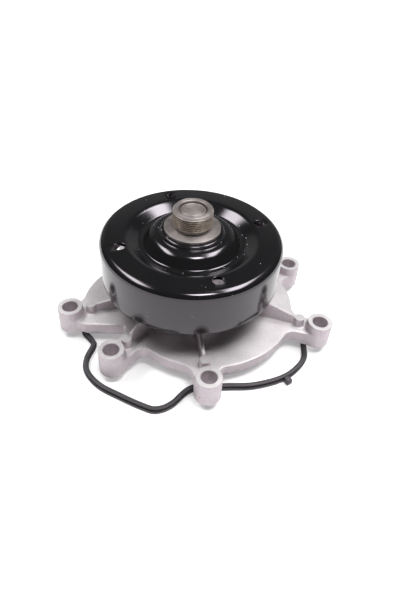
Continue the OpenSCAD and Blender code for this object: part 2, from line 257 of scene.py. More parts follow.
class Finish:
    """A Principled material, with short calls for the nodes that drive it."""

    def __init__(self, name, **sockets):
        self.material = bpy.data.materials.new(name)
        self.material.use_nodes = True
        self.tree = self.material.node_tree
        self.shader = self.tree.nodes["Principled BSDF"]
        for socket, value in sockets.items():
            self.shader.inputs[socket.replace("_", " ")].default_value = value
        self.reliefs = []
        place = self.node("TexCoord").outputs["Object"]
        self.place = self.vector("SCALE", place, scale=1 / MM)

    def node(self, kind, **settings):
        return shader_node(self.tree, kind, **settings)

    def put(self, value, socket):
        """Links an output to a socket, or sets a plain value."""
        if isinstance(value, bpy.types.NodeSocket):
            self.tree.links.new(value, socket)
        else:
            socket.default_value = value

    def math(self, operation, a, b=0.0, c=0.0):
        made = self.node("Math", operation=operation)
        for value, socket in zip((a, b, c), made.inputs):
            self.put(value, socket)
        return made.outputs[0]

    def vector(self, operation, a, b=None, scale=None):
        made = self.node("VectorMath", operation=operation)
        self.put(a, made.inputs[0])
        if b is not None:
            self.put(b, made.inputs[1])
        if scale is not None:
            self.put(scale, made.inputs["Scale"])
        return made.outputs["Value" if operation in ("LENGTH", "DISTANCE") else "Vector"]

    def noise(self, size, detail=2.0, place=None, stretch=None, roughness=0.5):
        """Noise from 0 to 1 whose lumps are about size millimetres."""
        made = self.node("TexNoise")
        place = place or self.place
        if stretch:
            place = self.vector("MULTIPLY", place, stretch)
        self.put(place, made.inputs["Vector"])
        made.inputs["Scale"].default_value = 1 / size
        made.inputs["Detail"].default_value = detail
        made.inputs["Roughness"].default_value = roughness
        return made.outputs["Fac"]

    def spread(self, value, low=0.3, high=0.7, to_low=0.0, to_high=1.0):
        """value from low..high mapped onto to_low..to_high, and held at the ends."""
        made = self.node("MapRange", interpolation_type="SMOOTHSTEP")
        for socket, v in zip(("Value", "From Min", "From Max", "To Min", "To Max"),
                             (value, low, high, to_low, to_high)):
            self.put(v, made.inputs[socket])
        return made.outputs["Result"]

    def band(self, value, start, full, still_full, end):
        """1 where the value is between full and still_full, fading to 0 at start and at end."""
        rise = self.spread(value, start, full)
        return self.math("MULTIPLY", rise, self.spread(value, still_full, end, 1, 0))

    def mix(self, factor, a, b):
        """A colour between a and b."""
        made = self.node("Mix", data_type="RGBA")
        self.put(factor, made.inputs["Factor"])
        for value, name in ((a, "A"), (b, "B")):
            socket = [s for s in made.inputs if s.name == name and s.type == "RGBA"][0]
            self.put(value if isinstance(value, bpy.types.NodeSocket) else (*value, 1), socket)
        return [s for s in made.outputs if s.type == "RGBA"][0]

    def colour(self, value):
        self.put(value, self.shader.inputs["Base Color"])

    def roughness(self, value):
        self.put(value, self.shader.inputs["Roughness"])

    def bump(self, height, depth, strength=1.0):
        """Adds a relief whose full height is depth millimetres."""
        self.reliefs.append((height, depth, strength))

    def done(self):
        """Chains the reliefs into the shader's normal and gives back the material."""
        normal = None
        for height, depth, strength in self.reliefs:
            made = self.node("Bump")
            made.inputs["Strength"].default_value = strength
            made.inputs["Distance"].default_value = depth * MM
            self.put(height, made.inputs["Height"])
            if normal:
                self.put(normal, made.inputs["Normal"])
            normal = made.outputs["Normal"]
        if normal:
            self.put(normal, self.shader.inputs["Normal"])
        return self.material

    def radius(self):
        """Distance from the Z axis in millimetres."""
        flat = self.vector("MULTIPLY", self.place, (1, 1, 0))
        return self.vector("LENGTH", flat)

    def height(self):
        """Height above the mounting plane in millimetres."""
        made = self.node("SeparateXYZ")
        self.put(self.place, made.inputs[0])
        return made.outputs["Z"]

    def upward(self):
        """How far the surface faces up, from -1 to 1."""
        made = self.node("SeparateXYZ")
        self.put(self.node("NewGeometry").outputs["Normal"], made.inputs[0])
        return made.outputs["Z"]

    def turning(self, size):
        """Fine rings, as a lathe leaves on ends and cylinders alike."""
        made = self.node("CombineXYZ")
        self.put(self.radius(), made.inputs["X"])
        self.put(self.height(), made.inputs["Y"])
        return self.noise(size, 3.0, place=made.outputs[0])


VIOLET_SHEEN = (1.0, 0.92, 1.0, 1.0)
RED_PAINT = (0.50, 0.10, 0.09)
GRIT_SPACING = 2.6
# Radii in the pulley's paint where trapped grit starts, is full, is still full and ends
CREASE, NECK = (37.5, 39.5, 42.5, 44.5), (20, 22, 25, 28)


def cast_aluminium(name, coarse=1.0):
    """Die-cast skin. coarse makes the grain stand out more, as it does in the cored holes."""
    f = Finish(name, Metallic=0.45)
    cloud = f.noise(17, 3)
    grain = f.noise(0.9, 3, roughness=0.6)
    drift = f.spread(cloud, 0.35, 0.65)
    # Painted light and shade: faces that look up are painted lighter and more neutral, and the sides
    # darker and pinker
    shaded_sides = f.mix(drift, (0.53, 0.470, 0.503), (0.60, 0.535, 0.57))
    lit_tops = f.mix(drift, (0.56, 0.532, 0.540), (0.63, 0.602, 0.608))
    tone = f.mix(f.spread(f.upward(), 0.5, 0.95), shaded_sides, lit_tops)
    speck = f.spread(grain, 0.28, 0.46 + 0.05 * coarse)
    tone = f.mix(speck, (0.41, 0.372, 0.39), tone)
    turn = math.radians(DAB_TURN)
    spot = BOSSES["front"] + BOSS_R * np.array([math.cos(turn), math.sin(turn)])
    off = f.vector("DISTANCE", f.place, (*spot, DAB_Z))
    f.colour(f.mix(f.spread(off, *DAB_EDGE, 1, 0), tone, RED_PAINT))
    f.roughness(f.spread(cloud, 0.3, 0.7, 0.50, 0.60))
    f.bump(grain, 0.14 * coarse, 0.7)
    f.bump(f.noise(3.2, 2), 0.22, 0.5)
    return f.done()


def machined_aluminium(name):
    """Faced and bored aluminium, with the cutter's fine streaks."""
    f = Finish(name, Metallic=0.6)
    streak = f.noise(0.35, 2, stretch=(1, 0.06, 1))
    cloud = f.noise(6, 2)
    f.colour(f.mix(f.spread(cloud), (0.51, 0.485, 0.49), (0.58, 0.555, 0.56)))
    f.roughness(f.spread(streak, 0.25, 0.75, 0.46, 0.60))
    f.bump(streak, 0.02, 0.5)
    return f.done()


def black_paint(name):
    """Gloss paint with grit in it, most of all where it settled in the crease and at the neck."""
    f = Finish(name, IOR=1.6, Specular_Tint=VIOLET_SHEEN)
    cloud = f.noise(24, 2)
    grit = f.node("TexVoronoi", feature="F1")
    f.put(f.place, grit.inputs["Vector"])
    grit.inputs["Scale"].default_value = 1 / GRIT_SPACING
    chosen = f.node("SeparateColor")
    f.put(grit.outputs["Color"], chosen.inputs[0])
    r = f.radius()
    trapped = f.math("MAXIMUM", f.band(r, *CREASE), f.band(r, *NECK))
    dot_edge = f.math("MULTIPLY_ADD", trapped, 0.1, 0.12)
    dot = f.spread(grit.outputs["Distance"], 0.06, dot_edge, 1, 0)
    share = f.spread(f.noise(13, 2), 0.42, 0.68, 0.004, 0.11)
    settled = f.math("MULTIPLY_ADD", trapped, 0.3, share)
    dust = f.math("MULTIPLY", dot, f.math("LESS_THAN", chosen.outputs["Red"], settled))
    f.colour(f.mix(dust, (0.006, 0.006, 0.0065), (0.35, 0.34, 0.35)))
    film = f.spread(cloud, 0.3, 0.7, 0.10, 0.16)
    f.roughness(f.math("ADD", film, f.math("MULTIPLY", dust, 0.4)))
    f.bump(f.noise(2.6, 1), 0.012, 0.35)
    f.bump(dust, 0.06, 0.6)
    return f.done()


def turned_steel(name, thread=None):
    """Bare turned steel. thread gives the heights between which it is browner, and darker in patches at
    the thread's roots.
    """
    f = Finish(name, Metallic=1.0, Anisotropic=0.4, Anisotropic_Rotation=0.25)
    f.put(f.node("Tangent", direction_type="RADIAL", axis="Z").outputs[0],
          f.shader.inputs["Tangent"])
    rings = f.turning(0.16)
    cloud = f.noise(5, 3)
    tone = f.mix(f.spread(cloud), (0.265, 0.235, 0.227), (0.34, 0.308, 0.298))
    rough = f.spread(rings, 0.3, 0.7, 0.44, 0.60)
    if thread:
        low, high = thread
        band = f.band(f.height(), low - 0.8, low + 0.6, high - 0.3, high + 0.5)
        root = f.spread(f.radius(), HUB_THREAD_R - 0.9, HUB_THREAD_R - 0.1, 1, 0.25)
        patchy = f.spread(f.noise(3.5, 3), 0.3, 0.6)
        # The thread's roots are darker brown, in patches
        dark_roots = f.math("MULTIPLY", band, f.math("MULTIPLY", root, patchy))
        tone = f.mix(f.math("MULTIPLY", band, 0.45), tone, (0.26, 0.205, 0.14))
        tone = f.mix(dark_roots, tone, (0.10, 0.065, 0.04))
        rough = f.math("ADD", rough, f.math("MULTIPLY", dark_roots, 0.25))
    f.colour(tone)
    f.roughness(rough)
    f.bump(rings, 0.02, 0.5)
    f.bump(f.noise(0.7, 2), 0.01, 0.4)
    return f.done()


def rubber(name, shade, smoothest):
    """Black rubber with a faint bloom: shade is its darkest red, smoothest its lowest roughness."""
    f = Finish(name, Specular_Tint=VIOLET_SHEEN)
    bloom = f.noise(9, 3)
    f.colour(f.mix(f.spread(bloom), (shade, shade * 0.93, shade * 1.03),
                   (shade * 1.6, shade * 1.5, shade * 1.65)))
    f.roughness(f.spread(bloom, 0.3, 0.7, smoothest, smoothest + 0.12))
    f.bump(f.noise(0.5, 2), 0.03, 0.4)
    return f.done()


def metal(name, dark, light, low, high, grain):
    """A bare metal whose colour and roughness drift between two values, with a fine lathe grain."""
    f = Finish(name, Metallic=1.0)
    return drifting(f, f.noise(4, 3), dark, light, low, high, f.turning(grain), 0.01)


def dull(name, dark, light, low, high, grain, depth):
    """A moulded or sintered material with a fine grain."""
    f = Finish(name)
    return drifting(f, f.noise(6, 2), dark, light, low, high, f.noise(grain, 3), depth)


def drifting(f, cloud, dark, light, low, high, fine, depth):
    """Colour that drifts with the cloud; roughness and relief that follow the fine grain."""
    f.colour(f.mix(f.spread(cloud), dark, light))
    f.roughness(f.spread(fine, 0.3, 0.7, low, high))
    f.bump(fine, depth, 0.5)
    return f.done()


# ---- housing ----

PLATE_C, PLATE_R = np.array([14.3, -1.0]), 72.6
SIDE_LOBE_C, SIDE_LOBE_R, SIDE_LOBE_Y = np.array([-27.5, -8.0]), 60, -34
PLATE_TOP = 12.6
RIM_STEP = 3.6  # underside of the plate's edge, above the mounting plane
LAND_IN, LAND_ARM_IN = 2.2, 0.6  # the machined land starts this far in on the plate and on an arm
LAND_TOP, PAD_FOOT = PLATE_TOP - 1.4, 5  # inside the plate
GROOVE_IN, GROOVE_OUT, GROOVE_DEEP = 5, 9.4, 3.4
BOSS_TOP = 20.2
BOSS_R = HOUSING_HIGH[0] - BOSSES["right"][0]
BOSS_DRAFT = 0.016  # the bosses and pads narrow upwards, so that they leave the die
DAB_TURN, DAB_Z = -126, 6.5  # a dab of red paint on the side of the front boss
DAB_EDGE = (0.45, 0.8)  # from its middle, the paint thins out between these distances
ARM_HALF = 9.4
ARM_ROOT_R = 52  # the arms end inside the plate at this radius
ARM_ROOT_HALF, LEFT_ROOT_HALF = ARM_HALF + 0.6, 19.5
EDGE_R, PAD_EDGE_R, SNOUT_EDGE_R, BOSS_EDGE_R = 0.6, 0.7, 0.8, 1.3  # the ribs share the pads'
# Fillets where an arm, its land, the snout, a rib and a boss run into the rest of the casting
ARM_FILLET, LAND_FILLET, SNOUT_FILLET, RIB_FILLET, BOSS_FILLET = 7, 5, 3.5, 1.5, 1.7
PAD_FILLET = 0.5  # between a pad and its rib
BOSS_SPARE, PAD_SPARE = 0.7, 0.5  # cast above the height that is faced
CAST_FOOT, CAST_LOW = -3, -4  # the skin runs down past the mounting plane and is milled off there
SNOUT_R, SNOUT_ROOT_R, SNOUT_ROOT_TOP = 26, 33, 27.6
SNOUT_TOP = HOUSING_HIGH[2]
SNOUT_LEAN = 0.93  # about the cosine of the flared root's lean
RIB_HALF = 1.8  # at the mounting plane; the ribs narrow upwards
RIB_DRAFT = 0.02
CREST_DOWN = 0.7  # a rib's crest meets its pad this far below the pad's top
PAD_R, PAD_TOP = 4.1, 20
FAR = 1e3  # farther than any part of the casting
# For each boss, how much its rib climbs towards the snout and how far in its pad stands
RIBS = {"right": (0.335, 16.5), "back_right": (0.3, 15.5), "rear_right": (0.3, 15.5),
        "rear_left": (0.3, 15.5), "back_left": (0.3, 15.5), "left": (0.2, 16.4),
        "left_front": (0.6, 15.4), "front": (0.3, 16.2)}


def join(a, b, radius):
    """Distance to two shapes joined with a fillet of that radius."""
    corner = np.hypot(np.maximum(radius - a, 0), np.maximum(radius - b, 0))
    return np.maximum(radius, np.minimum(a, b)) - corner


def meet(a, b, radius):
    """Distance to what two shapes share, with a rounded edge of that radius."""
    edge = np.hypot(np.maximum(radius + a, 0), np.maximum(radius + b, 0))
    return np.minimum(-radius, np.maximum(a, b)) + edge


def between(v, low, high):
    """Distance from the span low to high, negative inside it."""
    return np.abs(v - (low + high) / 2) - (high - low) / 2


def lobes(x, y, inset):
    """The cover plate's two round lobes, seen from above."""
    main = np.hypot(x - PLATE_C[0], y - PLATE_C[1]) - PLATE_R + inset
    side = np.hypot(x - SIDE_LOBE_C[0], y - SIDE_LOBE_C[1]) - SIDE_LOBE_R + inset
    return np.minimum(main, np.maximum(side, SIDE_LOBE_Y + inset - y))


def arm(along, across, reach, half, root_half):
    """A boss's arm, seen from above: it widens from the boss to its root in the plate."""
    width = half + (root_half - half) * (reach - along) / (reach - ARM_ROOT_R)
    return np.maximum(np.abs(across) - width, between(along, ARM_ROOT_R / 2, reach))


def casting(p):
    """Signed distance in millimetres from the housing's cast skin, before any machining."""
    x, y, z = p[:, 0], p[:, 1], p[:, 2]
    radius = np.hypot(x, y)
    upper, lower = lobes(x, y, 0), lobes(x, y, LAND_IN)
    ribs = pads = bosses = np.full(len(p), FAR)
    for name, (slope, pad_in) in RIBS.items():
        boss = BOSSES[name]
        reach = np.hypot(*boss)
        u = boss / reach
        along, across = x * u[0] + y * u[1], y * u[0] - x * u[1]
        root = LEFT_ROOT_HALF if name == "left" else ARM_ROOT_HALF
        upper = join(upper, arm(along, across, reach, ARM_HALF, root), ARM_FILLET)
        land_arm = arm(along, across, reach, ARM_HALF - LAND_ARM_IN, root - 2 * LAND_ARM_IN)
        lower = join(lower, land_arm, LAND_FILLET)
        outer = reach - pad_in
        boss_r, pad_r = BOSS_R - BOSS_DRAFT * (z - CAST_LOW), PAD_R + 0.2 - BOSS_DRAFT * z
        bosses = np.minimum(bosses, np.hypot(along - reach, across) - boss_r)
        pads = np.minimum(pads, np.hypot(along - outer, across) - pad_r)
        crest = (z - PAD_TOP + CREST_DOWN - slope * (outer - along)) / math.hypot(1, slope)
        wall = np.abs(across) - RIB_HALF + RIB_DRAFT * z
        rib = np.maximum(meet(wall, crest, PAD_EDGE_R), between(along, SNOUT_R - 4, outer))
        ribs = np.minimum(ribs, rib)
    plate = meet(upper, between(z, RIM_STEP, PLATE_TOP), EDGE_R)
    land = np.maximum(lower, between(z, CAST_FOOT, LAND_TOP))
    body = join(plate, land, EDGE_R)
    flare = np.clip((SNOUT_ROOT_TOP - z) / (SNOUT_ROOT_TOP - PLATE_TOP + 1), 0, 1.2)
    snout = (radius - SNOUT_R - (SNOUT_ROOT_R - SNOUT_R) * flare) * SNOUT_LEAN
    snout = meet(snout, between(z, 0, SNOUT_TOP), SNOUT_EDGE_R)
    body = join(body, snout, SNOUT_FILLET)
    ribs = join(ribs, meet(pads, between(z, PAD_FOOT, PAD_TOP + PAD_SPARE), PAD_EDGE_R), PAD_FILLET)
    body = join(body, ribs, RIB_FILLET)
    bosses = meet(bosses, between(z, CAST_FOOT, BOSS_TOP + BOSS_SPARE), BOSS_EDGE_R)
    return np.maximum(join(body, bosses, BOSS_FILLET), CAST_LOW - z)


def sampled(field, low, count, cell, block=4):
    """The field on a grid. Far from the surface it only holds the value at each block's middle."""
    blocks = -(-count // block)
    index = np.indices(blocks).reshape(3, -1).T
    rough = field(low + (index * block + (block - 1) / 2) * cell).reshape(blocks)
    near = np.abs(rough) < 1.25 * block * cell

    def fine(a):
        for axis in range(3):
            a = np.repeat(a, block, axis)
        return a[:count[0], :count[1], :count[2]].copy()

    values, wanted = fine(rough), fine(near)
    values[wanted] = field(low + np.argwhere(wanted) * cell)
    return values


def without_pinches(inside):
    """Fills grid points so that nowhere do two sheets of the surface meet along one edge."""
    for _ in range(3):
        for a, b in ((0, 1), (1, 2), (0, 2)):
            v = np.moveaxis(inside, (a, b), (0, 1))
            near, far, left, right = v[:-1, :-1], v[1:, 1:], v[:-1, 1:], v[1:, :-1]
            pinched = (near & far & ~left & ~right) | (left & right & ~near & ~far)
            for corner in (near, far, left, right):
                corner |= pinched
    return inside


def gradient(field, p, step=0.03):
    """Slope of the field at each point, from the corners of a small tetrahedron."""
    corners = np.array([[1, -1, -1], [-1, -1, 1], [-1, 1, -1], [1, 1, 1]], float)
    return sum(c * field(p + c * step)[:, None] for c in corners) / (4 * step)


def skin(field, low, high, cell):
    """(points, faces) of the field's zero surface: one point in each grid cell that it crosses."""
    count = np.ceil((high - low) / cell).astype(int) + 2
    inside = without_pinches(sampled(field, low, count, cell) < 0)
    corners = sum(inside[i:count[0] - 1 + i, j:count[1] - 1 + j, k:count[2] - 1 + k].astype(int)
                  for i in (0, 1) for j in (0, 1) for k in (0, 1))
    crossed = (corners > 0) & (corners < 8)
    number = np.full(crossed.shape, -1)
    number[crossed] = np.arange(crossed.sum())
    points = low + (np.argwhere(crossed) + 0.5) * cell
    faces = []
    for axis in range(3):
        b, c = (axis + 1) % 3, (axis + 2) % 3
        change = np.diff(inside.astype(np.int8), axis=axis)
        edge = np.argwhere(change)
        edge = edge[(edge[:, b] > 0) & (edge[:, c] > 0)]
        step_b, step_c = np.eye(3, dtype=int)[b], np.eye(3, dtype=int)[c]
        quad = [number[tuple((edge - s).T)] for s in (0, step_b, step_b + step_c, step_c)]
        quad = np.stack(quad, -1)
        leaving = change[tuple(edge.T)] < 0
        quad[leaving] = quad[leaving][:, ::-1]
        faces.append(quad[:, ::-1])
    for _ in range(4):
        slope = gradient(field, points)
        move = field(points)[:, None] * slope / np.maximum((slope ** 2).sum(1), 0.2)[:, None]
        points = points - np.clip(move, -cell, cell)
    return points, np.concatenate(faces)


def lobe_outline(inset, steps=540):
    """Points round the cover plate's lobes, found along rays from a point inside both."""
    eye = np.array([-10.0, -5.0])
    angle = np.linspace(0, 2 * np.pi, steps, endpoint=False)
    ray = np.stack([np.cos(angle), np.sin(angle)], -1)

    def exit_from(centre, radius):
        to = centre - eye
        along = ray @ to
        return along + np.sqrt(along ** 2 - to @ to + radius ** 2)

    side = exit_from(SIDE_LOBE_C, SIDE_LOBE_R - inset)
    down = ray[:, 1] < -1e-6
    side[down] = np.minimum(side[down], (SIDE_LOBE_Y + inset - eye[1]) / ray[down, 1])
    reach = np.maximum(exit_from(PLATE_C, PLATE_R - inset), side)
    return eye + ray * reach[:, None]


def ring_prism(outer, inner, low, high):
    """(points, faces) of the band between two outlines of equal length."""
    n = len(outer)
    points = np.concatenate([np.c_[o, np.full(n, z)] for z in (low, high) for o in (outer, inner)])
    i = np.arange(n)
    k = (i + 1) % n
    quads = [(i, k, k + 2 * n, i + 2 * n), (k + n, i + n, i + 3 * n, k + 3 * n),
             (i + 2 * n, k + 2 * n, k + 3 * n, i + 3 * n), (k, i, i + n, k + n)]
    return points, np.concatenate([np.stack(q, -1) for q in quads]).tolist()


def turned_bar(start, end, radius, segments=32):
    """(points, faces) of a plain round bar between two points."""
    axis = Vector(end) - Vector(start)
    turn = Vector((0, 0, 1)).rotation_difference(axis)
    outline = np.array([[0, 0], [radius, 0], [radius, axis.length], [0, axis.length]])
    points, faces = turned_solid(outline, segments)
    return [turn @ Vector(p) + Vector(start) for p in points.tolist()], faces


POCKET_R, POCKET_Z = 41, 7
SEAL_R, SEAL_Z = 18.25, 19.5
CHAMBER_R = 15.5
BEARING_R = node_box("bearing_outer_ring")[1][0]
BEARING_Z = node_box("bearing_outer_ring")[0][2]
WEEP_Z, WEEP_R, WEEP_TURN, WEEP_REACH = 23.5, 2.5, math.radians(20), 45
BELOW = -12  # the cutters start this far below the mounting plane
WIDE = 150  # half the side of the block that is milled off under that plane
CELL, QUICK_CELL, GRID_ROOM = 0.8, 1.5, 2  # the grid on which the cast skin is found
KEPT_FACES = 0.45  # share of the fine skin's faces that are kept


def boss_cutter(centre):
    """Drills a bolt hole, chamfers its mouths and faces off the top of the boss."""
    outline = np.array([[0, BELOW], [BOLT_R + 0.4, BELOW], [BOLT_R + 0.4, 0], [BOLT_R, 0.4],
                        [BOLT_R, BOSS_TOP - 0.5], [BOLT_R + 0.5, BOSS_TOP],
                        [BOSS_R + 2.5, BOSS_TOP], [BOSS_R + 2.5, BOSS_TOP + 3], [0, BOSS_TOP + 3]])
    return turned_solid(outline, 96, centre)


def pad_cutter(name):
    """Takes the top of a pad down to a flat disc, as its ejector pin leaves it."""
    boss = BOSSES[name]
    reach = np.hypot(*boss)
    outline = np.array([[0, PAD_TOP], [PAD_R + 0.5, PAD_TOP], [PAD_R + 0.5, PAD_TOP + 4],
                        [0, PAD_TOP + 4]])
    return turned_solid(outline, 48, boss * (1 - RIBS[name][1] / reach))


def bore_cutter():
    """Everything turned on the pump's axis: pocket, seal bore, chamber and bearing bore."""
    outline = np.array([[0, BELOW], [POCKET_R + 0.6, BELOW], [POCKET_R + 0.6, 0],
                        [POCKET_R, 0.6], [POCKET_R, POCKET_Z - 1], [POCKET_R - 0.3, POCKET_Z - 0.3],
                        [POCKET_R - 1, POCKET_Z], [SEAL_R + 0.5, POCKET_Z],
                        [SEAL_R, POCKET_Z + 0.5], [SEAL_R, SEAL_Z], [CHAMBER_R, SEAL_Z],
                        [CHAMBER_R, BEARING_Z], [BEARING_R, BEARING_Z],
                        [BEARING_R, SNOUT_TOP - 0.8], [BEARING_R + 0.9, SNOUT_TOP + 0.1],
                        [BEARING_R + 0.9, SNOUT_TOP + 3], [0, SNOUT_TOP + 3]])
    return turned_solid(outline, 192)


def make_housing(cast, machined, cored):
    """The cover: its cast skin, then everything that is drilled, bored and milled out of it."""
    low = np.array([*HOUSING_LOW[:2], CAST_LOW - GRID_ROOM]) - GRID_ROOM
    high = np.array([*HOUSING_HIGH[:2], SNOUT_TOP]) + GRID_ROOM
    cell = CELL
    body = new_object("housing_casting", *skin(casting, low, high, cell))
    body.modifiers.new("thin", "DECIMATE").ratio = KEPT_FACES
    bake_modifiers(body)
    block = prism([[-WIDE, -WIDE], [WIDE, -WIDE], [WIDE, WIDE], [-WIDE, WIDE]], BELOW, 0)
    groove = ring_prism(lobe_outline(GROOVE_IN), lobe_outline(GROOVE_OUT), BELOW, GROOVE_DEEP)
    out = (math.sin(WEEP_TURN) * -WEEP_REACH, math.cos(WEEP_TURN) * WEEP_REACH, WEEP_Z)
    boolean(body, [block])
    boolean(body, [boss_cutter(b) for b in BOSSES.values()])
    boolean(body, [pad_cutter(name) for name in RIBS])
    boolean(body, [bore_cutter()])
    boolean(body, [groove])
    boolean(body, [turned_bar((0, 0, WEEP_Z), out, WEEP_R)])
    coated(body, cast, machined, cored)
    set_skins(body.data)
    return smooth(body)


def set_skins(mesh):
    """Gives each face the material slot of its skin: 0 as cast, 1 machined or 2 cored."""
    n = len(mesh.polygons)
    normal, centre = np.empty(n * 3), np.empty(n * 3)
    mesh.polygons.foreach_get("normal", normal)
    mesh.polygons.foreach_get("center", centre)
    x, y, z = centre.reshape(-1, 3).T / MM
    up = normal[2::3]
    flat = np.minimum(np.abs(z - BOSS_TOP), np.abs(z - PAD_TOP)) < 0.01
    faced = flat & (up > 0.99)
    land = (np.abs(z) < 0.01) & (up < -0.99)
    bored = np.hypot(x, y) < BEARING_R + 0.05
    slots = (faced | land | bored).astype(int)
    for boss in BOSSES.values():
        hole = np.hypot(x - boss[0], y - boss[1]) < BOLT_R + 0.2
        slots[hole & (np.abs(up) < 0.5)] = 2
    mesh.polygons.foreach_set("material_index", slots)


# ---- pulley ----

SHEET = 3
RIM_Z = 78.5
NECK_Z = PULLEY_HIGH[2]
PULLEY_R = PULLEY_HIGH[0]
BEND_R = 5.4
PILOT_R = 18
# Bends of the sheet from the neck to the rim: (centre r, centre z, radius of the upper surface,
# start angle, end angle, +1 where the sheet lies inside the bend or -1 where it lies outside)
BENDS = [(25.2, 82.2, 1, 182, 266, -1), (27.2, 74.2, 7, 88, 40, 1),
         (38.2, 74.8, 1.8, 220, 270, -1), (40.3, 75.2, 2.2, 270, 302.6, -1),
         (51.9, RIM_Z - 8, 8, 122.6, 90, 1), (PULLEY_R - BEND_R, RIM_Z - BEND_R, BEND_R, 90, 0, 1)]
NECK_FOOT = 206  # where the first bend starts on the sheet's lower surface
LIP_R, HEM_R, HEM_INNER_R = 1.5, 0.6, 0.4  # rounded edges of the neck and of the skirt's hem
TOOL_PCD, TOOL_HOLE_R, TOOL_TURN = 111.4, 4.2, -69.7


def make_pulley(paint):
    """The pressed sheet, turned from its upper and lower outlines, with four punched tool holes."""
    upper = [[PILOT_R, NECK_Z], *arc((22.6, NECK_Z - LIP_R), LIP_R, 90, 8, 8)]
    lower = [[PILOT_R, NECK_Z - SHEET], [21.2, NECK_Z - SHEET]]
    for i, (r, z, radius, start, end, side) in enumerate(BENDS):
        upper += list(arc((r, z), radius, start, end, 14))
        lower += list(arc((r, z), radius - SHEET * side, start if i else NECK_FOOT, end, 14))
    hem = PULLEY_LOW[2]
    upper += [[PULLEY_R, hem + 6], *arc((PULLEY_R - HEM_R, hem + HEM_R), HEM_R, 0, -90, 4)]
    inner = (PULLEY_R - SHEET + HEM_INNER_R, hem + HEM_INNER_R)
    lower += [[PULLEY_R - SHEET, hem + 6], *arc(inner, HEM_INNER_R, 180, 270, 4)]
    outline = np.array(upper + lower[::-1])
    body = joined("pulley_pressing", [lathe(outline, 288)])
    top, low = RIM_Z, RIM_Z - SHEET
    punch = np.array([[0, low - 4], [TOOL_HOLE_R + 0.5, low - 4], [TOOL_HOLE_R + 0.5, low],
                      [TOOL_HOLE_R, low + 0.5], [TOOL_HOLE_R, top - 0.35],
                      [TOOL_HOLE_R + 0.08, top - 0.12], [TOOL_HOLE_R + 0.3, top],
                      [TOOL_HOLE_R + 0.3, top + 4], [0, top + 4]])
    turns = [math.radians(TOOL_TURN + 90 * i) for i in range(4)]
    places = [(TOOL_PCD / 2 * math.cos(a), TOOL_PCD / 2 * math.sin(a)) for a in turns]
    boolean(body, [turned_solid(punch, 48, p) for p in places])
    return smooth(coated(body, paint), 35)


# ---- fan hub ----

FLANGE_Z, FLANGE_T, FLANGE_R = 86.2, 2.1, HUB_HIGH[0]
STUD_Z, HUB_FOOT_Z = HUB_HIGH[2], HUB_LOW[2]
HUB_THREAD_R = 15
THREAD_PITCH, THREAD_DEEP, UNDERCUT_DEEP = 1.5, 0.95, 2.3
TRENCH_R, TRENCH_DEEP = (9.3, 10.3), 3.6  # the groove turned round the shaft's end
THREAD_LOW, THREAD_HIGH = 90, 99.4
CREST_SHARE, FLANK_SHARE, RUN_OUT = 0.125, 0.625, 0.5  # shares of the pitch; length of its ends


def thread_radius(r, z, angle):
    """Cuts a right-hand screw thread into the outside of the stud."""
    turn = (z - THREAD_LOW) / THREAD_PITCH - angle / (2 * np.pi)
    phase = np.abs(turn % 1 - 0.5) * 2
    depth = np.clip((phase - CREST_SHARE) / FLANK_SHARE, 0, 1) * THREAD_DEEP
    ends = np.clip(np.minimum(z - THREAD_LOW, THREAD_HIGH - z) / RUN_OUT, 0, 1)
    on_stud = (z > THREAD_LOW) & (z < THREAD_HIGH) & (r > HUB_THREAD_R - 0.01)
    return np.where(on_stud, r - depth * ends, r)


def make_fan_hub(steel):
    """The hub that is pressed on the shaft: pilot, clamp flange, undercut and screwed stud."""
    flange_low = FLANGE_Z - FLANGE_T
    undercut = HUB_THREAD_R - UNDERCUT_DEEP
    foot = rounded([(SHAFT_R, HUB_FOOT_Z, 0.4), (PILOT_R, HUB_FOOT_Z, 1), (PILOT_R, flange_low, 0),
                    (FLANGE_R, flange_low, 0.3), (FLANGE_R, FLANGE_Z, 0.45),
                    (undercut, FLANGE_Z, 0.5), (undercut, THREAD_LOW - 1.4, 0.3)])
    rows = np.arange(THREAD_LOW, THREAD_HIGH + 0.3, THREAD_PITCH / 12)
    stud = np.c_[np.full(len(rows), HUB_THREAD_R), rows]
    tip = rounded([(HUB_THREAD_R, STUD_Z - 1.5, 0.4), (HUB_THREAD_R - 1.2, STUD_Z, 0.4),
                   (TRENCH_R[1] + 0.6, STUD_Z, 0.4), (TRENCH_R[1], STUD_Z - 0.8, 0.3),
                   (TRENCH_R[1], STUD_Z - TRENCH_DEEP, 0.3), (TRENCH_R[0], STUD_Z - TRENCH_DEEP, 0.3),
                   (TRENCH_R[0], SHAFT_TOP - 0.1, 0.35), (SHAFT_R + 0.25, SHAFT_TOP - 0.1, 0.1),
                   (SHAFT_R, SHAFT_TOP - 0.4, 0)])[1:]
    outline = np.concatenate([foot[1:], stud, tip, foot[:1]])
    body = joined("fan_hub_turning", [lathe(outline, 192, thread_radius)])
    return smooth(coated(body, steel), 38)


# ---- gasket ----

# The loose ring's middle line, the same as in the design, anticlockwise from its left end
RING = np.array([
    [-85, -27.5], [-77, -37], [-75, -42.5], [-78, -57], [-75, -69], [-64, -81], [-47.5, -90],
    [-30, -98], [-20, -100.5], [-9.5, -95.5], [5, -80.5], [29, -77.5], [53, -75], [77, -65.5],
    [93, -49], [96.5, -34], [95, -12], [85, 12], [66, 33], [40, 46], [5, 52], [-30, 48],
    [-62, 32], [-82, 6], [-87, -16]])
GASKET_W = 4.8
TAB = np.array([79, -68.7])  # the middle of the pull tab


